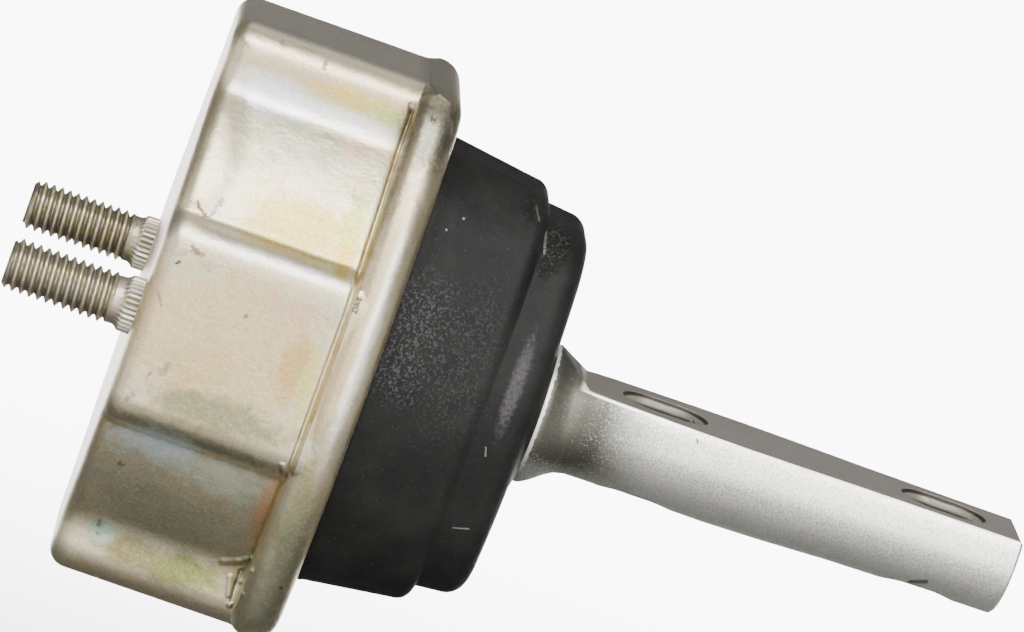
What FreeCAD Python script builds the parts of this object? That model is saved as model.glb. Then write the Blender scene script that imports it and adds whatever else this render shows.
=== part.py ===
import FreeCAD, Part
import math
import os
import Sketcher

os.makedirs("parts", exist_ok=True)
doc = FreeCAD.newDocument("engine_mount")

# Millimetres and degrees. X runs from the studs towards the end of the arm and is 0
# on the back of the housing, Y is across both studs, Z is along the housing.
sizes = {
    # drawn housing, with the front edge rolled over the clamped stack
    "sheet_thickness": 1.8,
    "rim_length": 106.2,
    "rim_width": 77.0,
    "rim_side_radius": 100.0,
    "rim_corner_radius": 12.0,
    "seat_height": 36.4,
    "bead_back_radius": 3.2,
    "bead_front_radius": 4.6,
    "lip_width": 6.2,
    "rim_end_step": 0.1,
    "rim_side_step": 0.8,
    "cup_panel_length": 27.8,
    "cup_end_width": 37.0,
    "cup_end_land": 8.7,
    "cup_end_corner_radius": 6.0,
    "cup_end_bend_radius": 6.0,
    "cup_step_slope": 60.0,
    "cup_step_length": 1.0,
    "cup_foot_radius": 3.0,
    "cup_panel_radius": 6.0,
    "cup_back_radius": 3.5,
    "seat_width": 3.6,
    "crimp_length": 34.0,
    "crimp_width": 1.3,
    "crimp_depth": 1.3,
    "crimp_setback": 0.2,
    # clamped stack inside the rolled rim
    "stack_clearance": 0.15,
    "diaphragm_thickness": 1.2,
    "plate_thickness": 1.0,
    "ring_thickness": 1.8,
    "ring_opening_inset": 11.2,
    "bulge_end_margin": 11.1,
    "bulge_side_margin": 15.5,
    "bulge_end_share": 0.06,
    "bulge_corner_share": 0.44,
    "bulge_height": 19.0,
    "bulge_wall": 1.6,
    "bulge_inset": 4.0,
    "bulge_edge_radius": 3.0,
    "disc_radius": 15.0,
    "disc_thickness": 1.0,
    "disc_recess": 0.6,
    "disc_side_clearance": 0.3,
    "disc_window_radius": 12.0,
    "port_radius": 2.5,
    "port_height": 24.0,
    # studs
    "stud_radius": 4.76,
    "stud_length": 24.1,
    "stud_spacing": 57.0,
    "stud_tip_chamfer": 0.9,
    "stud_collar_radius": 5.3,
    "stud_collar_length": 2.6,
    "stud_head_radius": 8.0,
    "stud_head_thickness": 3.0,
    "stud_press_clearance": 0.02,
    # rubber body
    "rubber_end_margin": 10.75,
    "rubber_side_margin": 6.9,
    "rubber_end_share": 0.2,
    "rubber_corner_share": 0.632,
    "skirt_clearance": 0.3,
    "skirt_drop": 0.3,
    "lower_tier_top": 63.4,
    "lower_tier_taper": 2.75,
    "lower_tier_edge": 3.0,
    "upper_tier_end_inset": 6.05,
    "upper_tier_side_inset": 3.6,
    "upper_tier_end_share": 0.2,
    "upper_tier_corner_share": 0.63,
    "upper_tier_taper": 1.0,
    "upper_tier_top": 73.4,
    "upper_tier_edge": 4.0,
    "crown_radius": 20.0,
    "crown_top_radius": 14.5,
    "crown_height": 1.7,
    "cavity_inset": 13.0,
    "cavity_end_share": 0.2,
    "cavity_corner_share": 0.4,
    "cavity_taper": 4.0,
    "cavity_top": 53.0,
    # forged arm and its bonded core
    "core_radius": 17.0,
    "core_back": 58.0,
    "core_front": 70.0,
    "core_edge_radius": 3.0,
    "root_radius": 13.4,
    "root_front": 76.2,
    "neck_middle": 78.6,
    "neck_middle_radius": 11.3,
    "neck_front": 84.0,
    "neck_radius": 10.1,
    "neck_rise": 0.6,
    "arm_end": 166.7,
    "arm_root_radius": 11.5,
    "arm_root_rise": 2.8,
    "arm_middle": 112.0,
    "arm_middle_radius": 12.3,
    "arm_middle_rise": 3.5,
    "arm_end_radius": 10.6,
    "arm_end_rise": 3.3,
    "flat_start": 82.6,
    "flat_height": 8.8,
    "hole_length": 15.4,
    "hole_width": 10.5,
    "first_hole": 97.6,
    "hole_pitch": 54.35,
    "hole_chamfer": 0.7,
}

sheet = doc.addObject("Spreadsheet::Sheet", "Sizes")
for row, (word, value) in enumerate(sizes.items(), start=1):
    sheet.set(f"A{row}", word)
    sheet.set(f"B{row}", str(value))
    sheet.setAlias(f"B{row}", word)
doc.recompute()
sheet_words = list(sizes)


class Size:
    """A number together with the sheet expression that gives it."""

    def __init__(self, value, text):
        self.value = value
        self.text = text

    def join(self, other, sign, value):
        text = other.text if isinstance(other, Size) else str(other)
        return Size(value, f"({self.text} {sign} {text})")

    def __add__(self, other):
        return self.join(other, "+", self.value + number(other))

    def __sub__(self, other):
        return self.join(other, "-", self.value - number(other))

    def __mul__(self, other):
        return self.join(other, "*", self.value * number(other))

    def __truediv__(self, other):
        return self.join(other, "/", self.value / number(other))


def number(entry):
    return entry.value if isinstance(entry, Size) else entry


class Named:
    """Gives each size of the sheet by its name."""

    def __getattr__(self, word):
        return Size(sizes[word], f"Sizes.{word}")


get = Named()
none = Size(0.0, "0")
right_angle = 90

# Stations along X that follow from the sheet.
seat = get.seat_height
shoulder = seat - get.sheet_thickness
stack_height = get.diaphragm_thickness + get.plate_thickness * 2 + get.ring_thickness
lip_back = seat + stack_height
lip_front = lip_back + get.sheet_thickness
plate_back = seat + get.diaphragm_thickness
plates_meet = plate_back + get.plate_thickness
plate_front = plates_meet + get.plate_thickness



def derived(word, size):
    """A size worked out from the others, kept in the sheet under its own name."""
    sheet_words.append(word)
    row = len(sheet_words)
    sheet.set(f"A{row}", word)
    sheet.set(f"B{row}", "=" + size.text.replace("Sizes.", ""))
    sheet.setAlias(f"B{row}", word)
    return Size(size.value, f"Sizes.{word}")


def rounded_outline(word, half_length, half_width, end_share, corner_share):
    """An outline whose straight ends and corners keep their share of its width."""
    length = derived(f"{word}_half_length", half_length)
    width = derived(f"{word}_half_width", half_width)
    corner = derived(f"{word}_corner_radius", width * corner_share)
    flank = derived(f"{word}_flank", width - width * end_share)
    rise = derived(f"{word}_rise", length - corner)
    squares = rise * rise + flank * flank - corner * corner
    side = derived(f"{word}_side_radius", squares / ((flank - corner) * 2))
    return (length, width, side, corner)


# Outlines: half length, half width, side radius, corner radius.
rim = (get.rim_length / 2, get.rim_width / 2, get.rim_side_radius, get.rim_corner_radius)
rubber = rounded_outline("rubber", rim[0] - get.rubber_end_margin, rim[1] - get.rubber_side_margin,
                         get.rubber_end_share, get.rubber_corner_share)
upper = rounded_outline("upper_tier", rubber[0] - get.upper_tier_end_inset,
                        rubber[1] - get.upper_tier_side_inset, get.upper_tier_end_share,
                        get.upper_tier_corner_share)
bulge = rounded_outline("bulge", rim[0] - get.bulge_end_margin, rim[1] - get.bulge_side_margin,
                        get.bulge_end_share, get.bulge_corner_share)
cavity = rounded_outline("cavity", rubber[0] - get.cavity_inset, rubber[1] - get.cavity_inset,
                         get.cavity_end_share, get.cavity_corner_share)
doc.recompute()
cup_end = rim[0] - get.rim_end_step
cup_side = rim[1] - get.rim_side_step
stack_inset = get.bead_front_radius + get.stack_clearance


def new_body(label):
    body = doc.addObject("PartDesign::Body", label)
    body.Label = label
    return body


def origin_plane(body, role):
    return next(f for f in body.Origin.OriginFeatures if getattr(f, "Role", "") == role)


def new_sketch(body, name, offset=none, role="YZ_Plane"):
    """A sketch on one of the body's own planes, moved along the plane's normal."""
    sketch = body.newObject("Sketcher::SketchObject", name)
    sketch.AttachmentSupport = [(origin_plane(body, role), "")]
    sketch.MapMode = "FlatFace"
    sketch.setExpression("AttachmentOffset.Base.z", offset.text)
    return sketch


def bind(sketch, kind, places, size, name, unit=""):
    """One driving constraint of a sketch, bound to the sheet."""
    value = math.radians(size.value) if unit else size.value
    index = sketch.addConstraint(Sketcher.Constraint(kind, *places, value))
    sketch.renameConstraint(index, name)
    sketch.setExpression(f"Constraints.{name}", size.text + unit)


def chain(sketch, links):
    for link in links:
        sketch.addConstraint(Sketcher.Constraint("Tangent", *link))


def line(x0, y0, x1, y1):
    return Part.LineSegment(FreeCAD.Vector(x0, y0, 0), FreeCAD.Vector(x1, y1, 0))


def arc(x, y, radius, start, end):
    circle = Part.Circle(FreeCAD.Vector(x, y, 0), FreeCAD.Vector(0, 0, 1), radius)
    return Part.ArcOfCircle(circle, start, end)


def bowed_outline(sketch, outline, inset=none):
    """A long outline with straight ends, bowed sides and round corners."""
    half_length = outline[0] - inset
    side = outline[2] - inset
    corner = outline[3] - inset
    centre = outline[2] - outline[1]
    a, r, c, off = half_length.value, side.value, corner.value, centre.value
    z = a - c
    y = math.sqrt((r - c) ** 2 - z ** 2) - off
    turn = math.atan2(z, y + off)
    quarter = math.pi / 2
    sketch.addGeometry([
        line(-y, a, y, a),
        arc(y, z, c, turn, quarter),
        arc(-off, 0, r, -turn, turn),
        arc(y, -z, c, -quarter, -turn),
        line(y, -a, -y, -a),
        arc(-y, -z, c, math.pi + turn, math.pi + quarter),
        arc(off, 0, r, math.pi - turn, math.pi + turn),
        arc(-y, z, c, quarter, math.pi - turn),
    ], False)
    chain(sketch, [(0, 2, 1, 2), (1, 1, 2, 2), (2, 1, 3, 2), (3, 1, 4, 1),
                   (4, 2, 5, 2), (5, 1, 6, 2), (6, 1, 7, 2), (7, 1, 0, 1)])
    for rule in [("Horizontal", 0), ("Horizontal", 4), ("Equal", 1, 3), ("Equal", 1, 5), ("Equal", 1, 7),
                 ("Equal", 2, 6), ("PointOnObject", 2, 3, -1), ("PointOnObject", 6, 3, -1)]:
        sketch.addConstraint(Sketcher.Constraint(*rule))
    bind(sketch, "Radius", (1,), corner, "corner")
    bind(sketch, "Radius", (2,), side, "side")
    bind(sketch, "DistanceX", (2, 3, -1, 1), centre, "side_centre")
    bind(sketch, "DistanceX", (-1, 1, 6, 3), centre, "other_side_centre")
    bind(sketch, "DistanceY", (-1, 1, 0, 1), half_length, "half_length")
    bind(sketch, "DistanceY", (4, 1, -1, 1), half_length, "other_half_length")


def cup_quarter(sketch, inset=none):
    """A quarter of the drawn cup: end, corner, facet and raised panel."""
    end = cup_end - inset
    side = get.cup_end_width / 2 - inset
    panel = cup_side - inset
    flat = get.cup_panel_length / 2
    bend = cup_end - get.cup_end_land
    corner_r = get.cup_end_corner_radius - inset
    bend_r = get.cup_end_bend_radius + inset
    foot_r = get.cup_foot_radius + inset
    panel_r = get.cup_panel_radius - inset
    step = math.radians(get.cup_step_slope.value)
    # Starting places: the facet is the line that touches both the bend's and the foot's arc.
    x, z, w, f = side.value, end.value, panel.value, flat.value
    rc, rb, rf, rp, zb = corner_r.value, bend_r.value, foot_r.value, panel_r.value, bend.value
    x4 = w - rp + rp * math.cos(step)
    z4 = f + rp * math.sin(step)
    x3 = x4 - get.cup_step_length.value * math.sin(step)
    z3 = z4 + get.cup_step_length.value * math.cos(step)
    xc = x3 + rf * math.cos(step)
    zc = z3 + rf * math.sin(step)
    across = xc - x - rb
    along = zc - zb
    facet = math.atan2(along, across) + math.acos((rf - rb) / math.hypot(across, along))
    x1 = x + rb - rb * math.cos(facet)
    z1 = zb - rb * math.sin(facet)
    x2 = xc - rf * math.cos(facet)
    z2 = zc - rf * math.sin(facet)
    sketch.addGeometry([
        line(0, z, x - rc, z),
        arc(x - rc, z - rc, rc, 0, math.pi / 2),
        line(x, z - rc, x, zb),
        arc(x + rb, zb, rb, math.pi, math.pi + facet),
        line(x2, z2, x1, z1),
        arc(xc, zc, rf, math.pi + facet, math.pi + step),
        line(x4, z4, x3, z3),
        arc(w - rp, f, rp, 0, step),
        line(w, f, w, 0),
        line(w, 0, 0, 0),
        line(0, 0, 0, z),
    ], False)
    chain(sketch, [(0, 2, 1, 2), (1, 1, 2, 1), (2, 2, 3, 1), (3, 2, 4, 2),
                   (4, 1, 5, 1), (5, 2, 6, 2), (6, 1, 7, 2), (7, 1, 8, 1)])
    for rule in [("Coincident", 8, 2, 9, 1), ("Coincident", 9, 2, 10, 1), ("Coincident", 10, 2, 0, 1),
                 ("Coincident", 9, 2, -1, 1), ("Horizontal", 0), ("Vertical", 2), ("Vertical", 8),
                 ("Horizontal", 9), ("Vertical", 10)]:
        sketch.addConstraint(Sketcher.Constraint(*rule))
    bind(sketch, "Radius", (1,), corner_r, "corner")
    bind(sketch, "Radius", (3,), bend_r, "bend")
    bind(sketch, "Radius", (5,), foot_r, "foot")
    bind(sketch, "Radius", (7,), panel_r, "panel")
    bind(sketch, "DistanceY", (-1, 1, 0, 1), end, "end")
    bind(sketch, "DistanceX", (-1, 1, 2, 1), side, "end_side")
    bind(sketch, "DistanceX", (-1, 1, 8, 1), panel, "panel_side")
    bind(sketch, "DistanceY", (-1, 1, 2, 2), bend, "bend_height")
    bind(sketch, "DistanceY", (-1, 1, 8, 1), flat, "panel_height")
    bind(sketch, "Distance", (6,), get.cup_step_length, "step_length")
    bind(sketch, "Angle", (6,), get.cup_step_slope + right_angle, "step_slope", " * 1 deg")


def circle_at(sketch, radius, rise=none, name="radius"):
    """A circle on the sketch's upright axis, at the given rise."""
    centre = FreeCAD.Vector(0, rise.value, 0)
    index = sketch.addGeometry(Part.Circle(centre, FreeCAD.Vector(0, 0, 1), radius.value), False)
    if rise is none:
        sketch.addConstraint(Sketcher.Constraint("Coincident", index, 3, -1, 1))
    else:
        sketch.addConstraint(Sketcher.Constraint("PointOnObject", index, 3, -2))
        bind(sketch, "DistanceY", (-1, 1, index, 3), rise, f"{name}_rise")
    bind(sketch, "Radius", (index,), radius, name)


def pad(body, name, sketch, length):
    feature = body.newObject("PartDesign::Pad", name)
    feature.Profile = sketch
    feature.setExpression("Length", length.text)
    doc.recompute()
    return feature


def pocket(body, name, sketch, depth, reverse=False, both=False):
    """A pocket, with a check that it takes material away."""
    before = body.Shape.Volume
    feature = body.newObject("PartDesign::Pocket", name)
    feature.Profile = sketch
    feature.Reversed = reverse
    feature.Midplane = both
    feature.setExpression("Length", depth.text)
    doc.recompute()
    if body.Shape.Volume >= before:
        raise RuntimeError(f"{name} cuts nothing")
    return feature


def loft(body, name, sketches, kind="PartDesign::AdditiveLoft", ruled=True):
    feature = body.newObject(kind, name)
    feature.Profile = sketches[0]
    feature.Sections = sketches[1:]
    feature.Ruled = ruled
    doc.recompute()
    return feature


def edges_at(feature, x, tolerance=0.01):
    """Names of the edges that lie in the plane at the given X."""
    found = []
    for index, edge in enumerate(feature.Shape.Edges, start=1):
        box = edge.BoundBox
        if abs(box.XMin - x) < tolerance and abs(box.XMax - x) < tolerance:
            found.append(f"Edge{index}")
    return found


def dress(body, name, feature, edges, size, kind="PartDesign::Fillet"):
    """A fillet or a chamfer on named edges of a feature."""
    made = body.newObject(kind, name)
    made.Base = (feature, edges)
    made.setExpression("Radius" if kind.endswith("Fillet") else "Size", size.text)
    doc.recompute()
    return made


def mirrored_both_ways(body, name, feature):
    """The quarter repeated across the two upright planes."""
    whole = body.newObject("PartDesign::MultiTransform", name)
    whole.Originals = [feature]
    mirrors = []
    for role in ("XZ_Plane", "XY_Plane"):
        mirror = doc.addObject("PartDesign::Mirrored", f"{name}_{role}")
        mirror.MirrorPlane = (origin_plane(body, role), [""])
        body.addObject(mirror)
        mirrors.append(mirror)
    whole.Transformations = mirrors
    body.Tip = whole
    doc.recompute()
    return whole


def drawn_form(body, inset, rim_back, rim_height, cup_back, cup_height):
    """The drawn cup with its rolled rim; with an inset it is the hollow inside."""
    name = body.Label
    outline = new_sketch(body, f"{name}_rim_outline", rim_back)
    bowed_outline(outline, rim, inset)
    bead = pad(body, f"{name}_rim", outline, rim_height)
    back = edges_at(bead, rim_back.value)
    rounded = dress(body, f"{name}_bead_back", bead, back, get.bead_back_radius - inset)
    front = edges_at(rounded, (rim_back + rim_height).value)
    dress(body, f"{name}_bead_front", rounded, front, get.bead_front_radius - inset)
    quarter = new_sketch(body, f"{name}_cup_quarter", cup_back)
    cup_quarter(quarter, inset)
    cup = pad(body, f"{name}_cup", quarter, cup_height)
    whole = mirrored_both_ways(body, f"{name}_cup_whole", cup)
    edge = edges_at(whole, cup_back.value)
    dress(body, f"{name}_cup_back", whole, edge, get.cup_back_radius - inset)


# Housing: the outside form, less the inside form, the crimps and the stud holes.
housing_outside = new_body("housing_outside")
drawn_form(housing_outside, none, shoulder, stack_height + get.sheet_thickness * 2, none, seat)

housing_inside = new_body("housing_inside")
drawn_form(housing_inside, get.sheet_thickness, seat, stack_height, get.sheet_thickness,
           shoulder - get.sheet_thickness - get.crimp_width)
seat_sketch = new_sketch(housing_inside, "seat_opening_outline", shoulder - get.crimp_width)
cup_quarter(seat_sketch, get.sheet_thickness + get.seat_width)
seat_pad = pad(housing_inside, "seat_opening", seat_sketch, get.sheet_thickness + get.crimp_width)
mirrored_both_ways(housing_inside, "seat_opening_whole", seat_pad)
lip_sketch = new_sketch(housing_inside, "lip_opening_outline", lip_back)
bowed_outline(lip_sketch, rim, get.lip_width)
pad(housing_inside, "lip_opening", lip_sketch, get.sheet_thickness * 2)


def crimp(label, side):
    """The narrow groove pressed in behind the rolled rim, along one raised panel."""
    groove = doc.addObject("Part::Box", label)
    groove.Label = label
    groove.setExpression("Length", get.crimp_width.text)
    groove.setExpression("Width", get.rim_width.text)
    groove.setExpression("Height", get.crimp_length.text)
    groove.setExpression("Placement.Base.x", (shoulder - get.crimp_setback).text)
    inner = cup_side - get.crimp_depth
    start = inner if side > 0 else (inner + get.rim_width) * -1
    groove.setExpression("Placement.Base.y", start.text)
    groove.setExpression("Placement.Base.z", (get.crimp_length / -2).text)
    return groove


def stud_hole(label, side):
    hole = doc.addObject("Part::Cylinder", label)
    hole.Label = label
    hole.setExpression("Radius", (get.stud_collar_radius + get.stud_press_clearance).text)
    hole.setExpression("Height", (get.sheet_thickness * 3).text)
    hole.Placement.Rotation = FreeCAD.Rotation(FreeCAD.Vector(0, 1, 0), 90)
    hole.setExpression("Placement.Base.x", (get.sheet_thickness * -1).text)
    hole.setExpression("Placement.Base.y", (get.stud_spacing / 2 * side).text)
    return hole


tools = doc.addObject("Part::MultiFuse", "housing_tools")
tools.Shapes = [
    housing_inside,
    crimp("near_crimp", -1),
    crimp("far_crimp", 1),
    stud_hole("near_stud_hole", -1),
    stud_hole("far_stud_hole", 1),
]
housing = doc.addObject("Part::Cut", "housing")
housing.Label = "housing"
housing.Base = housing_outside
housing.Tool = tools


def stud(label, side):
    """A press-in stud: head inside the cup, ribbed collar through the sheet, threaded shank."""
    body = new_body(label)
    head = new_sketch(body, f"{label}_head_outline", get.sheet_thickness)
    circle_at(head, get.stud_head_radius)
    pad(body, f"{label}_head", head, get.stud_head_thickness)
    collar = new_sketch(body, f"{label}_collar_outline", get.stud_collar_length * -1)
    circle_at(collar, get.stud_collar_radius)
    pad(body, f"{label}_collar", collar, get.stud_collar_length + get.sheet_thickness)
    shank = new_sketch(body, f"{label}_shank_outline", get.stud_length * -1)
    circle_at(shank, get.stud_radius)
    feature = pad(body, f"{label}_shank", shank, get.stud_length)
    tip = edges_at(feature, -get.stud_length.value)
    dress(body, f"{label}_tip", feature, tip, get.stud_tip_chamfer, "PartDesign::Chamfer")
    body.setExpression("Placement.Base.y", (get.stud_spacing / 2 * side).text)
    return body


near_stud = stud("near_stud", -1)
far_stud = stud("far_stud", 1)

# Clamped stack: diaphragm, two orifice plates with the loose disc, and the ring.
diaphragm = new_body("diaphragm")
edge_sketch = new_sketch(diaphragm, "diaphragm_edge_outline", seat)
bowed_outline(edge_sketch, rim, stack_inset)
pad(diaphragm, "diaphragm_edge", edge_sketch, get.diaphragm_thickness)
bulge_bottom = seat - get.bulge_height
outer_mouth = new_sketch(diaphragm, "bulge_mouth", plate_back)
bowed_outline(outer_mouth, bulge)
outer_floor = new_sketch(diaphragm, "bulge_floor", bulge_bottom)
bowed_outline(outer_floor, bulge, get.bulge_inset)
bulge_loft = loft(diaphragm, "bulge", [outer_mouth, outer_floor])
dress(diaphragm, "bulge_edge", bulge_loft, edges_at(bulge_loft, bulge_bottom.value), get.bulge_edge_radius)
inner_mouth = new_sketch(diaphragm, "bulge_inner_mouth", plate_back)
bowed_outline(inner_mouth, bulge, get.bulge_wall)
inner_floor = new_sketch(diaphragm, "bulge_inner_floor", bulge_bottom + get.bulge_wall)
bowed_outline(inner_floor, bulge, get.bulge_inset + get.bulge_wall)
loft(diaphragm, "bulge_hollow", [inner_mouth, inner_floor], "PartDesign::SubtractiveLoft")


def orifice_plate(label, back, recess_from, recess_side):
    """A flat plate with a window, a port and a recess for the loose disc."""
    body = new_body(label)
    outline = new_sketch(body, f"{label}_outline", back)
    bowed_outline(outline, rim, stack_inset)
    pad(body, f"{label}_plate", outline, get.plate_thickness)
    recess = new_sketch(body, f"{label}_recess_outline", recess_from)
    circle_at(recess, get.disc_radius + get.disc_side_clearance)
    pocket(body, f"{label}_recess", recess, get.disc_recess, reverse=recess_side)
    window = new_sketch(body, f"{label}_window_outline", back)
    circle_at(window, get.disc_window_radius, name="window")
    circle_at(window, get.port_radius, get.port_height, name="port")
    pocket(body, f"{label}_window", window, get.plate_thickness * 2, both=True)
    return body


lower_plate = orifice_plate("lower_orifice_plate", plate_back, plates_meet, False)
upper_plate = orifice_plate("upper_orifice_plate", plates_meet, plates_meet, True)

disc = new_body("decoupler_disc")
disc_sketch = new_sketch(disc, "disc_outline", plates_meet - get.disc_recess)
circle_at(disc_sketch, get.disc_radius)
pad(disc, "disc", disc_sketch, get.disc_thickness)

clamp_ring = new_body("clamp_ring")
ring_sketch = new_sketch(clamp_ring, "ring_outline", plate_front)
bowed_outline(ring_sketch, rim, stack_inset)
pad(clamp_ring, "ring", ring_sketch, get.ring_thickness)
ring_inner = new_sketch(clamp_ring, "ring_opening_outline", lip_back)
bowed_outline(ring_inner, rim, get.ring_opening_inset)
pocket(clamp_ring, "ring_opening", ring_inner, get.ring_thickness)

# Arm: bonded core, round root, necked down to a round bar with a flat and two long holes.
arm = new_body("arm")
core_sketch = new_sketch(arm, "core_outline", get.core_back)
circle_at(core_sketch, get.core_radius)
core_pad = pad(arm, "core", core_sketch, get.core_front - get.core_back)
core_edges = edges_at(core_pad, get.core_back.value) + edges_at(core_pad, get.core_front.value)
dress(arm, "core_edges", core_pad, core_edges, get.core_edge_radius)
root_sketch = new_sketch(arm, "root_outline", get.core_back + get.core_edge_radius)
circle_at(root_sketch, get.root_radius)
pad(arm, "root", root_sketch, get.root_front - get.core_back - get.core_edge_radius)


def arm_circle(name, station, radius, rise=none):
    sketch = new_sketch(arm, name, station)
    circle_at(sketch, radius, rise)
    return sketch


loft(arm, "neck", [
    arm_circle("neck_back_circle", get.root_front, get.root_radius),
    arm_circle("neck_middle_circle", get.neck_middle, get.neck_middle_radius),
    arm_circle("neck_front_circle", get.neck_front, get.neck_radius, get.neck_rise),
], ruled=False)
loft(arm, "bar", [
    arm_circle("bar_back_circle", get.flat_start, get.arm_root_radius, get.arm_root_rise),
    arm_circle("bar_middle_circle", get.arm_middle, get.arm_middle_radius, get.arm_middle_rise),
    arm_circle("bar_end_circle", get.arm_end, get.arm_end_radius, get.arm_end_rise),
], ruled=False)


def box_outline(sketch, x0, x1, half):
    """A rectangle about the sketch's level axis."""
    a, b, w = x0.value, x1.value, half.value
    sketch.addGeometry([line(a, -w, b, -w), line(b, -w, b, w), line(b, w, a, w), line(a, w, a, -w)], False)
    for rule in [("Coincident", 0, 2, 1, 1), ("Coincident", 1, 2, 2, 1), ("Coincident", 2, 2, 3, 1),
                 ("Coincident", 3, 2, 0, 1), ("Horizontal", 0), ("Horizontal", 2), ("Vertical", 1),
                 ("Vertical", 3)]:
        sketch.addConstraint(Sketcher.Constraint(*rule))
    bind(sketch, "DistanceX", (-1, 1, 0, 1), x0, "start")
    bind(sketch, "DistanceX", (-1, 1, 0, 2), x1, "finish")
    bind(sketch, "DistanceY", (-1, 1, 2, 1), half, "half_width")
    bind(sketch, "DistanceY", (0, 1, -1, 1), half, "other_half_width")


def long_hole(sketch, centre, name, first):
    """A hole with straight sides and round ends, along the level axis."""
    radius = get.hole_width / 2
    near = centre - get.hole_length / 2 + radius
    far = centre + get.hole_length / 2 - radius
    a, b, r = near.value, far.value, radius.value
    quarter = math.pi / 2
    sketch.addGeometry([
        line(a, r, b, r),
        arc(b, 0, r, -quarter, quarter),
        line(b, -r, a, -r),
        arc(a, 0, r, quarter, 3 * quarter),
    ], False)
    top, right, bottom, left = first, first + 1, first + 2, first + 3
    chain(sketch, [(top, 2, right, 2), (right, 1, bottom, 1), (bottom, 2, left, 2), (left, 1, top, 1)])
    sketch.addConstraint(Sketcher.Constraint("PointOnObject", right, 3, -1))
    sketch.addConstraint(Sketcher.Constraint("PointOnObject", left, 3, -1))
    bind(sketch, "Radius", (right,), radius, f"{name}_radius")
    bind(sketch, "DistanceX", (-1, 1, left, 3), near, f"{name}_near")
    bind(sketch, "DistanceX", (-1, 1, right, 3), far, f"{name}_far")


flat_sketch = new_sketch(arm, "flat_outline", get.flat_height, "XY_Plane")
box_outline(flat_sketch, get.flat_start, get.arm_end * 2, get.arm_middle_radius * 2)
pocket(arm, "flat", flat_sketch, get.arm_middle_radius * 2, reverse=True)
hole_sketch = new_sketch(arm, "hole_outlines", none, "XY_Plane")
long_hole(hole_sketch, get.first_hole, "first", 0)
long_hole(hole_sketch, get.first_hole + get.hole_pitch, "second", 4)
holes = pocket(arm, "holes", hole_sketch, get.arm_middle_radius * 4, both=True)


def hole_edges(feature, tolerance=0.01):
    """Names of the hole edges that lie in the flat."""
    found = []
    for index, edge in enumerate(feature.Shape.Edges, start=1):
        box = edge.BoundBox
        level = abs(box.ZMin - get.flat_height.value) < tolerance and abs(box.ZMax - box.ZMin) < tolerance
        inside = max(abs(box.YMin), abs(box.YMax)) < get.hole_width.value / 2 + tolerance
        if level and inside and box.XMax < get.arm_end.value - tolerance and box.XMin > get.flat_start.value + 1:
            found.append(f"Edge{index}")
    return found


dress(arm, "hole_chamfers", holes, hole_edges(holes), get.hole_chamfer, "PartDesign::Chamfer")

# Rubber body: skirt through the lip, two tiers and a low crown, hollow below the core.
block = new_body("rubber_block")
fill_sketch = new_sketch(block, "fill_outline", plate_front)
bowed_outline(fill_sketch, rim, get.ring_opening_inset)
pad(block, "fill", fill_sketch, get.ring_thickness)
skirt_sketch = new_sketch(block, "skirt_outline", lip_back)
bowed_outline(skirt_sketch, rim, get.lip_width + get.skirt_clearance)
pad(block, "skirt", skirt_sketch, get.sheet_thickness - get.skirt_drop)


def tier(name, outline, back, front, taper, edge):
    low = new_sketch(block, f"{name}_back", back)
    bowed_outline(low, outline)
    high = new_sketch(block, f"{name}_front", front)
    bowed_outline(high, outline, taper)
    feature = loft(block, name, [low, high])
    return dress(block, f"{name}_edge", feature, edges_at(feature, front.value), edge)


tier("lower_tier", rubber, lip_back, get.lower_tier_top, get.lower_tier_taper, get.lower_tier_edge)
tier("upper_tier", upper, get.cavity_top, get.upper_tier_top, get.upper_tier_taper, get.upper_tier_edge)
crown_low = new_sketch(block, "crown_back", get.upper_tier_top)
circle_at(crown_low, get.crown_radius)
crown_high = new_sketch(block, "crown_front", get.upper_tier_top + get.crown_height)
circle_at(crown_high, get.crown_top_radius)
loft(block, "crown", [crown_low, crown_high])
cavity_low = new_sketch(block, "cavity_mouth", plate_front)
bowed_outline(cavity_low, cavity)
cavity_high = new_sketch(block, "cavity_roof", get.cavity_top)
bowed_outline(cavity_high, cavity, get.cavity_taper)
loft(block, "cavity", [cavity_low, cavity_high], "PartDesign::SubtractiveLoft")

rubber_body = doc.addObject("Part::Cut", "rubber_body")
rubber_body.Label = "rubber_body"
rubber_body.Base = block
rubber_body.Tool = arm

doc.recompute()

bad = [o.Label for o in doc.Objects if "Invalid" in o.State or "Error" in o.State]
if bad:
    raise RuntimeError(f"not computed: {bad}")

parts = [housing, near_stud, far_stud, diaphragm, lower_plate, disc, upper_plate, clamp_ring,
         rubber_body, arm]
for part in parts:
    shape = part.Shape
    if shape.isNull() or not shape.isValid() or shape.Volume <= 0:
        raise RuntimeError(f"bad shape: {part.Label}")
for part in parts:
    part.Shape.exportStep(f"parts/{part.Label}.step")
    print(part.Label, len(part.Shape.Solids), round(part.Shape.Volume, 1))
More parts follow.
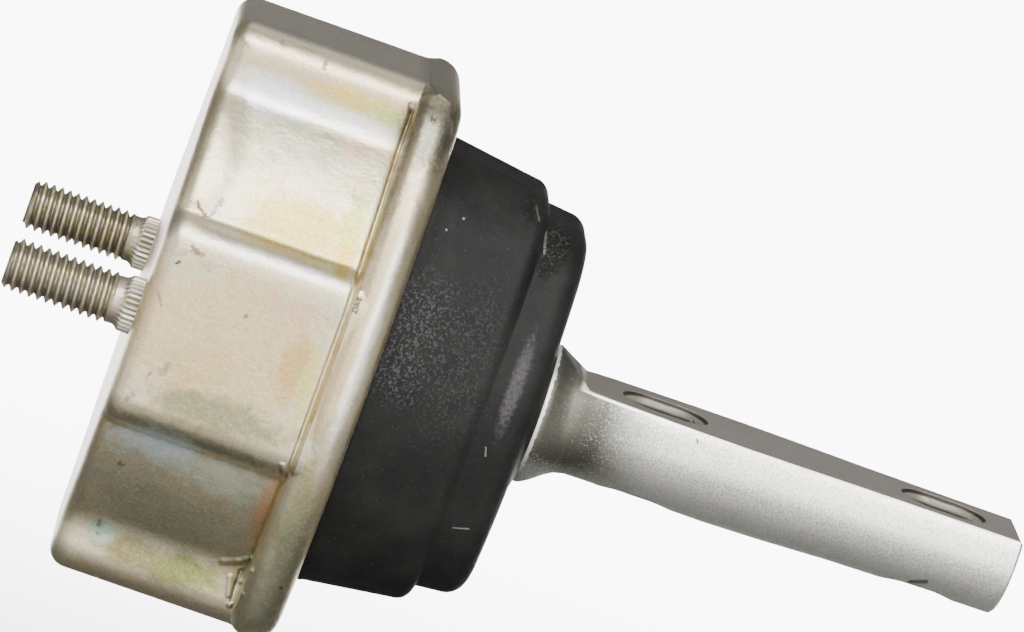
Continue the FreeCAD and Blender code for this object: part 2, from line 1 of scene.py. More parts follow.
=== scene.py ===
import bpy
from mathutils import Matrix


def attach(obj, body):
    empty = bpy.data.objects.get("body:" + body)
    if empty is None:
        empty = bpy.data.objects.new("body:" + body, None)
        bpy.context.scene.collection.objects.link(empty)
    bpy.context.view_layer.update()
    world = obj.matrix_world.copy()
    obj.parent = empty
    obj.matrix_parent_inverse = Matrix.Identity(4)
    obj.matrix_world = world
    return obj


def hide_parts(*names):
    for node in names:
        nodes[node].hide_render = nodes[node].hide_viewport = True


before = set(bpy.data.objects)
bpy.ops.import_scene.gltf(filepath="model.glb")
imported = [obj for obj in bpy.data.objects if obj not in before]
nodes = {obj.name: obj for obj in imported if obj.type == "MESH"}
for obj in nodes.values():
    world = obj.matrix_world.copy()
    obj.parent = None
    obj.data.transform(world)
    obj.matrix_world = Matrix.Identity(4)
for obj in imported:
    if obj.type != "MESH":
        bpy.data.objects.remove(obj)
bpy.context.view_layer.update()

import math
import bpy
import numpy as np
from mathutils import Matrix, Vector

mm = 0.001
scene = bpy.context.scene


# ---- meshes from rows of points, in millimetres ----
def meshFrom(name, points, faces, smoothAngle=40):
    mesh = bpy.data.meshes.new(name)
    mesh.from_pydata([tuple(float(c) * mm for c in p) for p in points], [], faces)
    mesh.validate()
    mesh.update()
    piece = bpy.data.objects.new(name, mesh)
    scene.collection.objects.link(piece)
    for face in mesh.polygons:
        face.use_smooth = True
    mesh.set_sharp_from_angle(angle=math.radians(smoothAngle))
    return piece


def skin(rows, capStart=False, capEnd=False):
    # rows of equal length, each one a closed ring
    rows = np.asarray(rows, float)
    count, around = rows.shape[:2]
    points = rows.reshape(-1, 3).tolist()
    faces = []
    for r in range(count - 1):
        for c in range(around):
            d = (c + 1) % around
            faces.append((r * around + c, r * around + d, (r + 1) * around + d, (r + 1) * around + c))
    if capStart:
        faces.append(tuple(range(around))[::-1])
    if capEnd:
        faces.append(tuple((count - 1) * around + c for c in range(around)))
    return points, faces


def smoothStep(value, low, high):
    t = np.clip((np.asarray(value, float) - low) / (high - low), 0, 1)
    return t * t * (3 - 2 * t)


# ---- shader writing ----
class Wire:
    # a number in a shader, so that sums on it read as sums
    def __init__(self, paint, socket):
        self.paint = paint
        self.socket = socket

    def sum(self, operation, *others):
        node = self.paint.node("ShaderNodeMath", {"operation": operation},
                               dict(enumerate((self,) + others)))
        return Wire(self.paint, node.outputs[0])

    def __add__(self, other):
        return self.sum("ADD", other)

    def __sub__(self, other):
        return self.sum("SUBTRACT", other)

    def __rsub__(self, other):
        return (self * -1).sum("ADD", other)

    def __mul__(self, other):
        return self.sum("MULTIPLY", other)

    def __truediv__(self, other):
        return self.sum("DIVIDE", other)

    def __pow__(self, other):
        return self.sum("POWER", other)

    __radd__ = __add__
    __rmul__ = __mul__

    def between(self, low, high):
        # 0 below low, 1 above high, smooth in the middle
        node = self.paint.node("ShaderNodeMapRange", {"interpolation_type": "SMOOTHSTEP"},
                               {"Value": self, "From Min": low, "From Max": high})
        return Wire(self.paint, node.outputs[0])

    def atLeast(self, other):
        return self.sum("MAXIMUM", other)

    def atMost(self, other):
        return self.sum("MINIMUM", other)

    def size(self):
        return self.sum("ABSOLUTE")


# a patch is full inside the first share of its reach and gone at the second; its edge wobbles
patchEdge = {"full": 0.35, "gone": 1.05, "wobble": 1.1}


class Paint:
    # one material, with places in millimetres
    def __init__(self, name, **constants):
        self.material = bpy.data.materials.new(name)
        self.material.use_nodes = True
        self.tree = self.material.node_tree
        self.shader = self.tree.nodes["Principled BSDF"]
        for socket, value in constants.items():
            self.shader.inputs[socket.replace("_", " ")].default_value = value
        place = self.node("ShaderNodeTexCoord", {}, {}).outputs["Object"]
        self.place = self.vector("SCALE", place, Scale=1 / mm)
        split = self.node("ShaderNodeSeparateXYZ", {}, {0: self.place})
        self.x, self.y, self.z = (Wire(self, split.outputs[i]) for i in range(3))

    def node(self, kind, settings, sockets):
        node = self.tree.nodes.new(kind)
        for key, value in settings.items():
            if key == "stops":
                ramp = node.color_ramp
                for place, colour in value:
                    ramp.elements.new(place).color = (*colour, 1)
                # a new ramp comes with a stop at each end
                ramp.elements.remove(ramp.elements[0])
                ramp.elements.remove(ramp.elements[-1])
            else:
                setattr(node, key, value)
        for key, value in sockets.items():
            socket = node.inputs[key]
            if isinstance(value, Wire):
                self.tree.links.new(value.socket, socket)
            elif isinstance(value, bpy.types.NodeSocket):
                self.tree.links.new(value, socket)
            else:
                socket.default_value = value
        return node

    def vector(self, operation, *values, **named):
        sockets = dict(enumerate(values))
        sockets.update(named)
        return self.node("ShaderNodeVectorMath", {"operation": operation}, sockets).outputs[0]

    def noise(self, grain, detail=3.0, rough=0.5, stretch=None, shift=(0, 0, 0), bend=0.0):
        # grain is the size of a patch in millimetres, stretch scales each axis
        place = self.vector("ADD", self.place, shift)
        if stretch:
            place = self.vector("MULTIPLY", place, stretch)
        node = self.node("ShaderNodeTexNoise", {}, {"Vector": place, "Scale": 1 / grain, "Detail": detail,
                                                    "Roughness": rough, "Distortion": bend})
        return Wire(self, node.outputs[0])

    def stroke(self, start, end):
        # distance from a line between two places (x, z), seen from the side
        ax, az, bx, bz = *start, *end
        dx, dz = bx - ax, bz - az
        # a mark that starts and ends at one place is a dot
        long = max(dx * dx + dz * dz, 0.0001)
        along = ((self.x - ax) * (dx / long) + (self.z - az) * (dz / long)).atLeast(0.0).atMost(1.0)
        across = self.x - ax - along * dx
        up = self.z - az - along * dz
        return (across * across + up * up) ** 0.5

    def blob(self, centre, reach, wobble):
        # 1 in the middle of an oval, 0 outside, seen from the side
        across = (self.x - centre[0]) / reach[0]
        up = (self.z - centre[1]) / reach[1]
        away = (across * across + up * up) ** 0.5 + (wobble - 0.5) * patchEdge["wobble"]
        return 1 - away.between(patchEdge["full"], patchEdge["gone"])

    def mix(self, share, first, second, blend="MIX"):
        node = self.node("ShaderNodeMix", {"data_type": "RGBA", "blend_type": blend}, {0: share})
        for socket, value in ((node.inputs[6], first), (node.inputs[7], second)):
            if isinstance(value, (tuple, list)):
                socket.default_value = (*value, 1)
            else:
                self.tree.links.new(value, socket)
        return node.outputs[2]

    def ramp(self, value, stops):
        return self.node("ShaderNodeValToRGB", {"stops": stops}, {0: value}).outputs[0]

    def bump(self, height, depth):
        # depth in millimetres for a height of 1
        node = self.node("ShaderNodeBump", {}, {"Height": height, "Distance": depth * mm, "Strength": 1.0})
        return node.outputs[0]

    def wear(self, **sockets):
        for key, value in sockets.items():
            socket = value.socket if isinstance(value, Wire) else value
            self.tree.links.new(socket, self.shader.inputs[key.replace("_", " ")])
        return self.material


def dress(piece, material):
    piece.data.materials.clear()
    piece.data.materials.append(material)
    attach(piece, "root")


# ---- camera ----
# degrees and millimetres; the focal length and the picture's width are in pixels
cameraFit = {"azimuth": -4.97, "elevation": 10.59, "roll": 20.29, "distance": 1050.0,
             "aim": (65.35, 0.0, 15.39), "focal": 5775.0, "pictureWidth": 1024.0, "sensor": 36.0,
             "nearClip": 0.05, "farClip": 20.0}


def makeCamera(fit):
    azimuth, elevation, roll = (math.radians(fit[k]) for k in ("azimuth", "elevation", "roll"))
    ahead = Vector((-math.sin(azimuth) * math.cos(elevation),
                    math.cos(azimuth) * math.cos(elevation), -math.sin(elevation)))
    level = Vector((math.cos(azimuth), math.sin(azimuth), 0))
    upright = level.cross(ahead)
    right = level * math.cos(roll) + upright * math.sin(roll)
    up = upright * math.cos(roll) - level * math.sin(roll)
    data = bpy.data.cameras.new("camera")
    data.sensor_width = fit["sensor"]
    data.lens = fit["focal"] * fit["sensor"] / fit["pictureWidth"]
    data.clip_start = fit["nearClip"]
    data.clip_end = fit["farClip"]
    camera = bpy.data.objects.new("camera", data)
    turn = Matrix((right, up, -ahead)).transposed().to_4x4()
    spot = (Vector(fit["aim"]) - ahead * fit["distance"]) * mm
    camera.matrix_world = Matrix.Translation(spot) @ turn
    scene.collection.objects.link(camera)
    scene.camera = camera


makeCamera(cameraFit)
print("camera placed")

# ---- housing: drawn cup with a rolled rim ----
cup = {"endHalf": 53.0, "sideHalf": 18.5, "panelHalf": 37.7, "panelFlat": 13.9, "bendHeight": 44.3,
       "cornerRadius": 6.0, "bendRadius": 8.0, "footRadius": 3.0, "panelRadius": 6.0,
       "panelSlope": 60.0, "stepLength": 1.0, "facetBulge": 0.9, "backRadius": 3.5, "wallEnd": 32.6,
       "shoulder": 34.6, "backShares": (0.02, 0.3, 0.6, 0.8, 0.93)}
# where the pockets begin behind the back edge: height, distance from the back
pocketStart = [(-48.0, 9.0), (-41.3, 7.3), (-34.0, 3.1), (-17.8, 3.4), (0.0, 4.0), (18.7, 5.8),
               (28.4, 8.2), (43.7, 4.3), (48.0, 4.0)]
# the raised pad before each pocket: it lies on the facets, between two heights
pocketPad = {"lift": 0.75, "before": 3.0, "after": 2.2, "inner": (17.0, 22.5), "outer": (33.0, 46.0),
             "leastWidth": 18.0}
# the crease behind the bead: x and depth of its rows along the raised panels and elsewhere
crease = {"fade": (18.5, 22.5), "approach": ((33.2, 0.0), (33.7, 0.02), (34.0, 0.08), (34.22, 0.24)),
          "pressed": ((34.32, 0.62), (34.4, 0.85), (34.75, 0.95)),
          "plain": ((34.36, 0.5), (34.48, 0.55), (34.6, 0.52)), "endStep": 0.3}
# at both ends the wall runs level into the bead: heights where that sets in, and x of its rows
levelEnd = {"fade": (46.5, 49.5), "climb": (35.1, 0.5), "bead": 35.6}
rim = {"halfLength": 53.1, "halfWidth": 38.5, "sideRadius": 100.0, "cornerRadius": 12.0,
       "backRadius": 3.2, "frontRadius": 4.6, "front": 43.2, "lipWidth": 6.2, "sheet": 1.8}


def arcPoints(centre, radius, start, end, count):
    turns = np.linspace(start, end, count, endpoint=False)
    return [(centre[0] + radius * math.cos(turn), centre[1] + radius * math.sin(turn)) for turn in turns]


def linePoints(a, b, count):
    return [(a[0] + (b[0] - a[0]) * i / count, a[1] + (b[1] - a[1]) * i / count) for i in range(count)]


def cupQuarter(c):
    # from the middle of the end to the middle of the raised panel, across then up
    step = math.radians(c["panelSlope"])
    x, z, w, f = c["sideHalf"], c["endHalf"], c["panelHalf"], c["panelFlat"]
    rc, rb, rf, rp = (c[k] for k in ("cornerRadius", "bendRadius", "footRadius", "panelRadius"))
    zb = c["bendHeight"]
    panelEnd = (w - rp + rp * math.cos(step), f + rp * math.sin(step))
    footEnd = (panelEnd[0] - c["stepLength"] * math.sin(step),
               panelEnd[1] + c["stepLength"] * math.cos(step))
    foot = (footEnd[0] + rf * math.cos(step), footEnd[1] + rf * math.sin(step))
    across, along = foot[0] - x - rb, foot[1] - zb
    facet = math.atan2(along, across) + math.acos((rf - rb) / math.hypot(across, along))
    bendEnd = (x + rb - rb * math.cos(facet), zb - rb * math.sin(facet))
    footStart = (foot[0] - rf * math.cos(facet), foot[1] - rf * math.sin(facet))
    points = linePoints((0, z), (x - rc, z), 8)
    points += arcPoints((x - rc, z - rc), rc, math.pi / 2, 0, 12)
    points += linePoints((x, z - rc), (x, zb), 3)
    points += arcPoints((x + rb, zb), rb, math.pi, math.pi + facet, 8)
    # the sheet bulges a little between the bend and the foot
    for share in np.arange(20) / 20:
        bulge = c["facetBulge"] * 4 * share * (1 - share)
        points.append((bendEnd[0] + (footStart[0] - bendEnd[0]) * share + bulge * math.cos(facet),
                       bendEnd[1] + (footStart[1] - bendEnd[1]) * share + bulge * math.sin(facet)))
    points += arcPoints(foot, rf, math.pi + facet, math.pi + step, 6)
    points += linePoints(footEnd, panelEnd, 3)
    points += arcPoints((w - rp, f), rp, step, 0, 12)
    points += linePoints((w, f), (w, 0), 12)
    points.append((w, 0))
    return np.array(points)


def wholeOutline(quarter):
    # the quarter mirrored both ways, as a closed ring of (y, z)
    a = quarter
    b = (quarter * (1, -1))[::-1][1:]
    right = np.vstack([a, b])
    left = (right * (-1, 1))[::-1][1:-1]
    return np.vstack([right, left])


def outwardNormals(ring):
    along = np.roll(ring, -1, axis=0) - np.roll(ring, 1, axis=0)
    across = np.stack([-along[:, 1], along[:, 0]], axis=1)
    across /= np.linalg.norm(across, axis=1)[:, None]
    if np.mean(np.sum(across * ring, axis=1)) < 0:
        across = -across
    return across


def ontoBow(points, outline):
    # nearest place on the bowed outline, and the outward direction there
    a, b, rs, rc = (outline[k] for k in ("halfLength", "halfWidth", "sideRadius", "cornerRadius"))
    off, zc = rs - b, a - rc
    yc = math.sqrt((rs - rc) ** 2 - zc ** 2) - off
    turn = math.atan2(zc, yc + off)
    places, ways = [], []
    for y, z in points:
        sy, sz = (1 if y >= 0 else -1), (1 if z >= 0 else -1)
        y, z = abs(y), abs(z)
        if y <= yc:
            place, way = (y, a), (0.0, 1.0)
        else:
            corner = math.atan2(z - zc, y - yc)
            if corner >= turn:
                way = (math.cos(corner), math.sin(corner))
                place = (yc + rc * way[0], zc + rc * way[1])
            else:
                side = math.atan2(z, y + off)
                way = (math.cos(side), math.sin(side))
                place = (rs * way[0] - off, rs * way[1])
        places.append((place[0] * sy, place[1] * sz))
        ways.append((way[0] * sy, way[1] * sz))
    return np.array(places), np.array(ways)


def makeHousing():
    ring = wholeOutline(cupQuarter(cup))
    out = outwardNormals(ring)
    onRim, rimOut = ontoBow(ring, rim)
    gap = np.sum((onRim - ring) * rimOut, axis=1)
    br, shoulder = rim["backRadius"], cup["shoulder"]
    beadCentre = shoulder + br
    height = np.abs(ring[:, 1])
    # the crimp runs along both raised panels and fades towards the facets and the ends
    pressed = 1 - smoothStep(height, *crease["fade"])
    onFacet = smoothStep(height, *pocketPad["inner"]) * (1 - smoothStep(height, *pocketPad["outer"]))
    onFacet = onFacet * (np.abs(ring[:, 0]) > pocketPad["leastWidth"])
    start = np.interp(ring[:, 1], [p[0] for p in pocketStart], [p[1] for p in pocketStart])

    def row(x, places):
        x = np.broadcast_to(np.asarray(x, float), (len(ring),))
        return np.column_stack([x, places[:, 0], places[:, 1]])

    def cupRow(x, inset):
        x = np.broadcast_to(np.asarray(x, float), (len(ring),))
        inset = np.broadcast_to(np.asarray(inset, float), (len(ring),))
        pad = 1 - smoothStep(x, start - pocketPad["before"], start + pocketPad["after"])
        inset = inset - onFacet * pad * pocketPad["lift"]
        return row(x, ring - out * inset[:, None])

    def rimRow(x, depth):
        depth = np.broadcast_to(np.asarray(depth, float), (len(ring),))
        return row(x, onRim - rimOut * depth[:, None])

    rows = []
    back = ring - out * cup["backRadius"]
    for share in cup["backShares"]:
        rows.append(row(0, back * share))
    for turn in np.radians(np.linspace(90, 0, 9)):
        rows.append(cupRow(cup["backRadius"] * (1 - math.sin(turn)),
                           cup["backRadius"] * (1 - math.cos(turn))))
    # the wall runs straight to the crease; at both ends it runs on into the bead
    atEnd = smoothStep(height, *levelEnd["fade"])
    dip = 1 - atEnd
    for x in np.linspace(cup["backRadius"], cup["wallEnd"], 26)[1:]:
        rows.append(cupRow(x, 0))
    for x, depth in crease["approach"]:
        rows.append(cupRow(x, depth * dip))
    for (pressedX, pressedDepth), (plainX, plainDepth) in zip(crease["pressed"], crease["plain"]):
        inset = pressedDepth * pressed + plainDepth * (1 - pressed)
        x = pressedX * pressed + plainX * (1 - pressed)
        rows.append(cupRow(x + crease["endStep"] * atEnd, inset * dip))
    # up the shoulder, then round the back of the bead
    climb = np.maximum(gap - br, 0)
    climbX, climbRise = levelEnd["climb"]
    for part in (0.25, 0.5, 0.75, 1.0):
        depth = gap + 0.35 * (1 - part) - climb * part
        bend = beadCentre - np.sqrt(np.maximum(br ** 2 - (br - np.minimum(depth, br)) ** 2, 0))
        reach = np.where(gap > br, shoulder + 0.06 * part, np.minimum(bend, levelEnd["bead"]))
        steep = rimRow(np.maximum(reach, shoulder + 0.1 + 0.2 * part), depth)
        level = rimRow(climbX + climbRise * part, gap * (1 - 0.3 * part))
        rows.append(steep * dip[:, None] + level * atEnd[:, None])
    lowest = np.arcsin(np.clip((br - np.minimum(gap, br)) / br, 0, 1))
    for part in np.linspace(0.1, 1, 11):
        turn = lowest + (math.pi / 2 - lowest) * part
        bead = rimRow(beadCentre - br * np.cos(turn), br - br * np.sin(turn))
        level = rimRow(levelEnd["bead"] + (beadCentre - levelEnd["bead"]) * part, gap * 0.7 * (1 - part))
        rows.append(bead * dip[:, None] + level * atEnd[:, None])
    fr, front, lip = rim["frontRadius"], rim["front"], rim["lipWidth"]
    for x in np.linspace(beadCentre, front - fr, 4)[1:]:
        rows.append(rimRow(x, 0))
    for turn in np.radians(np.linspace(0, 90, 13)[1:]):
        rows.append(rimRow(front - fr + fr * math.sin(turn), fr * (1 - math.cos(turn))))
    # the flat lip, its rounded edge and the turn back to the inside
    for behind, depth in ((0, fr + 0.3), (0, lip - 0.8), (0, lip - 0.3), (0.12, lip - 0.06), (0.4, lip),
                          (rim["sheet"] - 0.2, lip), (rim["sheet"], lip - 0.2)):
        rows.append(rimRow(front - behind, depth))
    points, faces = skin(rows, capStart=True)
    return meshFrom("housing_shell", points, faces, 50)


housing = makeHousing()
print("housing made")

# ---- studs: ribbed collar, short neck, thread ----
stud = {"radius": 4.76, "pitch": 1.5875, "threadDepth": 0.94, "crestFlat": 0.14, "tip": -24.1,
        "threadEnd": -4.2, "chamfer": 1.0, "neckRadius": 4.35, "collarRadius": 5.25, "collarBack": -2.3,
        "collarRise": ((-0.9, 0.0), (-0.4, 0.35), (0.0, 0.9), (0.25, 1.0), (1.1, 1.0), (2.0, 1.0),
                       (2.8, 1.0)),
        "ribs": 30, "ribDepth": 0.5, "halfSpacing": 28.5, "turnStart": {"near": 0.3, "far": 2.1},
        "around": 150, "rowsPerTurn": 14}


def makeStud(name, side, turnStart):
    around = stud["around"]
    angle = np.arange(around) * 2 * math.pi / around
    rows = []

    def ring(x, radius):
        radius = np.broadcast_to(radius, (around,))
        return np.column_stack([np.full(around, x), radius * np.cos(angle) + side * stud["halfSpacing"],
                                radius * np.sin(angle)])

    def threadRadius(x):
        phase = ((x / stud["pitch"]) - (angle + turnStart) / (2 * math.pi)) % 1.0
        flank = np.abs(phase - 0.5) * 2
        shape = np.clip((flank - stud["crestFlat"]) / (1 - 2 * stud["crestFlat"]), 0, 1)
        fade = smoothStep(x, stud["threadEnd"] - 1.0, stud["threadEnd"])
        radius = stud["radius"] - stud["threadDepth"] * shape
        radius = radius * (1 - fade) + stud["neckRadius"] * fade
        tipLimit = stud["radius"] - stud["chamfer"] + (x - stud["tip"])
        return np.minimum(radius, tipLimit)

    rows.append(ring(stud["tip"], 0.2))
    rows.append(ring(stud["tip"], 2.4))
    rows.append(ring(stud["tip"], stud["radius"] - stud["chamfer"] - 0.15))
    for x in np.arange(stud["tip"] + 0.1, stud["threadEnd"], stud["pitch"] / stud["rowsPerTurn"]):
        rows.append(ring(x, threadRadius(x)))
    rows.append(ring(stud["threadEnd"] + 0.3, stud["neckRadius"]))
    ribPhase = (angle * stud["ribs"] / (2 * math.pi)) % 1
    rib = stud["collarRadius"] - stud["ribDepth"] * np.abs(ribPhase - 0.5) * 2
    for x, lift in stud["collarRise"]:
        rows.append(ring(stud["collarBack"] + x, stud["neckRadius"] * (1 - lift) + rib * lift))
    points, faces = skin(rows, capStart=True, capEnd=True)
    return meshFrom(name, points, faces, 35)


nearStud = makeStud("near_threaded_stud", -1, stud["turnStart"]["near"])
farStud = makeStud("far_threaded_stud", 1, stud["turnStart"]["far"])
print("studs made")

# ---- rubber body ----
rubber = {"halfLength": 42.35, "halfWidth": 31.6, "sideRadius": 70.0, "cornerRadius": 20.0, "start": 41.6,
          "skirt": ((41.6, -0.6), (43.4, -0.3), (44.6, -0.25)), "wallStart": 45.2,
          "lowerTop": 64.6, "lowerTaper": 2.75, "lowerEdge": 3.0, "upperTaper": 1.0, "valley": 0.9,
          "stepRows": (0.03, 0.1, 0.25, 0.5, 0.9), "stepSlope": 4.0, "upperTop": 73.4, "upperEdge": 4.0,
          "crownTop": 75.1, "crownRadius": 14.3, "crownShares": (0.15, 0.35, 0.55, 0.75, 0.88, 1.0),
          "around": 240}
upperTier = {"halfLength": 36.3, "halfWidth": 28.0, "sideRadius": 56.6, "cornerRadius": 17.64}


def bowRing(outline, count):
    # evenly turned points on the bowed outline, with their outward directions
    angle = np.arange(count) * 2 * math.pi / count
    far = np.column_stack([np.sin(angle) * outline["halfWidth"], np.cos(angle) * outline["halfLength"]]) * 3
    return ontoBow(far, outline)


def makeRubber():
    r = rubber
    places, ways = bowRing(r, r["around"])
    reach = np.sum((bowRing(upperTier, r["around"])[0] - places) * ways, axis=1)
    rows = []

    def row(x, offset):
        offset = np.broadcast_to(np.asarray(offset, float), (len(places),))
        return np.column_stack([np.full(len(places), x), places + ways * offset[:, None]])

    def blended(lower, upper):
        # the larger of the two, with a soft valley where they meet
        near = np.maximum(r["valley"] - np.abs(lower - upper), 0) / r["valley"]
        return np.maximum(lower, upper) + near * near * r["valley"] / 4

    def upperSide(x):
        return reach - r["upperTaper"] * max(x - r["lowerTop"], 0) / 10

    for x, offset in r["skirt"]:
        rows.append(row(x, offset))
    edge = r["lowerEdge"]
    edgeStart = r["lowerTop"] - edge
    for x in np.linspace(r["wallStart"], edgeStart, 12):
        rows.append(row(x, -r["lowerTaper"] * (x - r["start"]) / (edgeStart - r["start"])))
    for turn in np.radians(np.linspace(0, 87, 16)[1:]):
        x = edgeStart + edge * math.sin(turn)
        rows.append(row(x, blended(-r["lowerTaper"] - edge * (1 - math.cos(turn)), upperSide(x))))
    # across the step, where the upper tier takes over
    upperStart = r["upperTop"] - r["upperEdge"]
    for x in np.concatenate([r["lowerTop"] + np.array(r["stepRows"]),
                             np.linspace(r["lowerTop"] + 1.5, upperStart, 6)]):
        lower = -r["lowerTaper"] - edge - (x - r["lowerTop"]) * r["stepSlope"]
        rows.append(row(x, blended(lower, upperSide(x))))
    edge = r["upperEdge"]
    side = upperSide(upperStart)
    for turn in np.radians(np.linspace(0, 84, 10)[1:]):
        rows.append(row(upperStart + edge * math.sin(turn), side - edge * (1 - math.cos(turn))))
    # the low crown closes in on the arm
    last = rows[-1]
    angle = np.arctan2(last[:, 1], last[:, 2])
    circle = np.column_stack([np.full(len(angle), r["crownTop"]), r["crownRadius"] * np.sin(angle),
                              r["crownRadius"] * np.cos(angle)])
    for share in r["crownShares"]:
        ring = last * (1 - share) + circle * share
        ring[:, 0] = last[:, 0] + (r["crownTop"] - last[:, 0]) * share ** 3
        rows.append(ring)
    inner = circle.copy()
    inner[:, 0] -= 0.7
    inner[:, 1:] *= 0.93
    rows.append(inner)
    points, faces = skin(rows)
    return meshFrom("rubber_skin", points, faces, 60)


rubberSkin = makeRubber()
print("rubber made")

# ---- arm ----
arm = {"flat": 8.8, "flatStart": 82.6, "neckDrop": 0.66, "start": 75.0, "neckEnd": 84.0, "end": 166.7,
       "endBevel": 0.5, "flatLeast": 0.92, "topPoints": 17, "restPoints": 57,
       "holeHalf": 7.7, "holeRadius": 5.25, "holes": (97.6, 151.95), "chamfer": 0.7, "cutPoints": 64,
       "cutDown": 16.0, "cutUp": 3.0}
# the forging's section along the arm: x, radius, height of its centre
armSections = [(75.0, 13.1, 0.0), (75.6, 13.2, 0.0), (76.3, 13.2, 0.0), (77.0, 12.9, 0.0), (78.0, 12.4, 0.1),
               (79.2, 11.8, 0.4), (80.4, 11.3, 0.9), (82.0, 11.1, 1.7), (84.0, 11.3, 2.4), (88.0, 11.6, 2.8),
               (95.0, 11.9, 3.0), (104.0, 12.2, 3.4), (112.0, 12.3, 3.5), (122.0, 12.0, 3.5),
               (135.0, 11.3, 3.4), (148.0, 10.9, 3.3), (158.0, 10.7, 3.3), (166.7, 10.6, 3.3)]


def makeArm():
    stations, radii, rises = np.array(armSections).T
    bevel = arm["endBevel"]
    places = np.concatenate([np.arange(arm["start"], arm["neckEnd"], 0.4),
                             np.arange(arm["neckEnd"], arm["end"] - 2 * bevel, 2.0),
                             [arm["end"] - bevel, arm["end"]]])
    rows = []
    for x in places:
        radius = np.interp(x, stations, radii)
        rise = np.interp(x, stations, rises)
        limit = arm["flat"] + arm["neckDrop"] * max(arm["flatStart"] - x, 0)
        if x == arm["end"]:
            radius -= bevel
            limit -= bevel
        # the same number of points on the flat at every section keeps its edge straight
        edge = math.acos(min(max((limit - rise) / radius, 0.0), arm["flatLeast"]))
        turn = np.concatenate([np.linspace(-edge, edge, arm["topPoints"])[:-1],
                               np.linspace(edge, 2 * math.pi - edge, arm["restPoints"])[:-1]])
        z = np.minimum(rise + radius * np.cos(turn), limit)
        rows.append(np.column_stack([np.full(len(turn), x), radius * np.sin(turn), z]))
    points, faces = skin(rows, capStart=True, capEnd=True)
    piece = meshFrom("forged_arm", points, faces, 30)
    for centre in arm["holes"]:
        cutHole(piece, centre)
    piece.data.set_sharp_from_angle(angle=math.radians(30))
    return piece


def cutHole(piece, centre):
    # a long hole with a chamfer at the flat, cut by a solid that sticks out on both sides
    rings = []
    straight = arm["holeHalf"] - arm["holeRadius"]
    count, flat, chamfer = arm["cutPoints"], arm["flat"], arm["chamfer"]
    angle = np.arange(count) * 2 * math.pi / count
    for z, grow in ((-arm["cutDown"], 0.0), (flat - chamfer, 0.0), (flat + 0.6, chamfer + 0.6),
                    (flat + arm["cutUp"], chamfer + 0.7)):
        radius = arm["holeRadius"] + grow
        x = centre + radius * np.cos(angle) + np.where(np.cos(angle) >= 0, straight, -straight)
        rings.append(np.column_stack([x, radius * np.sin(angle), np.full(count, z)]))
    points, faces = skin(rings, capStart=True, capEnd=True)
    cutter = meshFrom("hole_cutter", points, faces)
    cut = piece.modifiers.new("hole", "BOOLEAN")
    cut.operation = "DIFFERENCE"
    cut.object = cutter
    cut.solver = "EXACT"
    done = bpy.data.meshes.new_from_object(piece.evaluated_get(bpy.context.evaluated_depsgraph_get()))
    piece.modifiers.clear()
    piece.data = done
    bpy.data.objects.remove(cutter)


forgedArm = makeArm()
print("arm made")


# ---- finishes ----
zincLook = {"cloud": [(0.28, (0.56, 0.56, 0.42)), (0.45, (0.63, 0.58, 0.41)), (0.58, (0.65, 0.57, 0.38)),
                      (0.75, (0.61, 0.59, 0.50))],
            "rainbow": [(0.3, (0.94, 1.04, 1.0)), (0.42, (1.02, 1.0, 0.94)), (0.52, (1.06, 0.97, 0.94)),
                        (0.6, (1.0, 1.0, 1.0)), (0.72, (0.98, 1.02, 0.86))],
            "upwardWall": (0.61, 0.59, 0.53), "upwardRim": (0.40, 0.39, 0.345), "back": (0.82, 0.74, 0.72),
            "grain": (0.74, 0.72, 0.66), "grime": (0.30, 0.27, 0.20), "bright": (0.9, 0.88, 0.8)}
# where the finish changes, in millimetres
zincPlaces = {"nearSide": (-8.0, 8.0), "backFace": (0.1, 0.6), "topWall": (51.6, 52.8), "rim": (33.0, 36.5)}
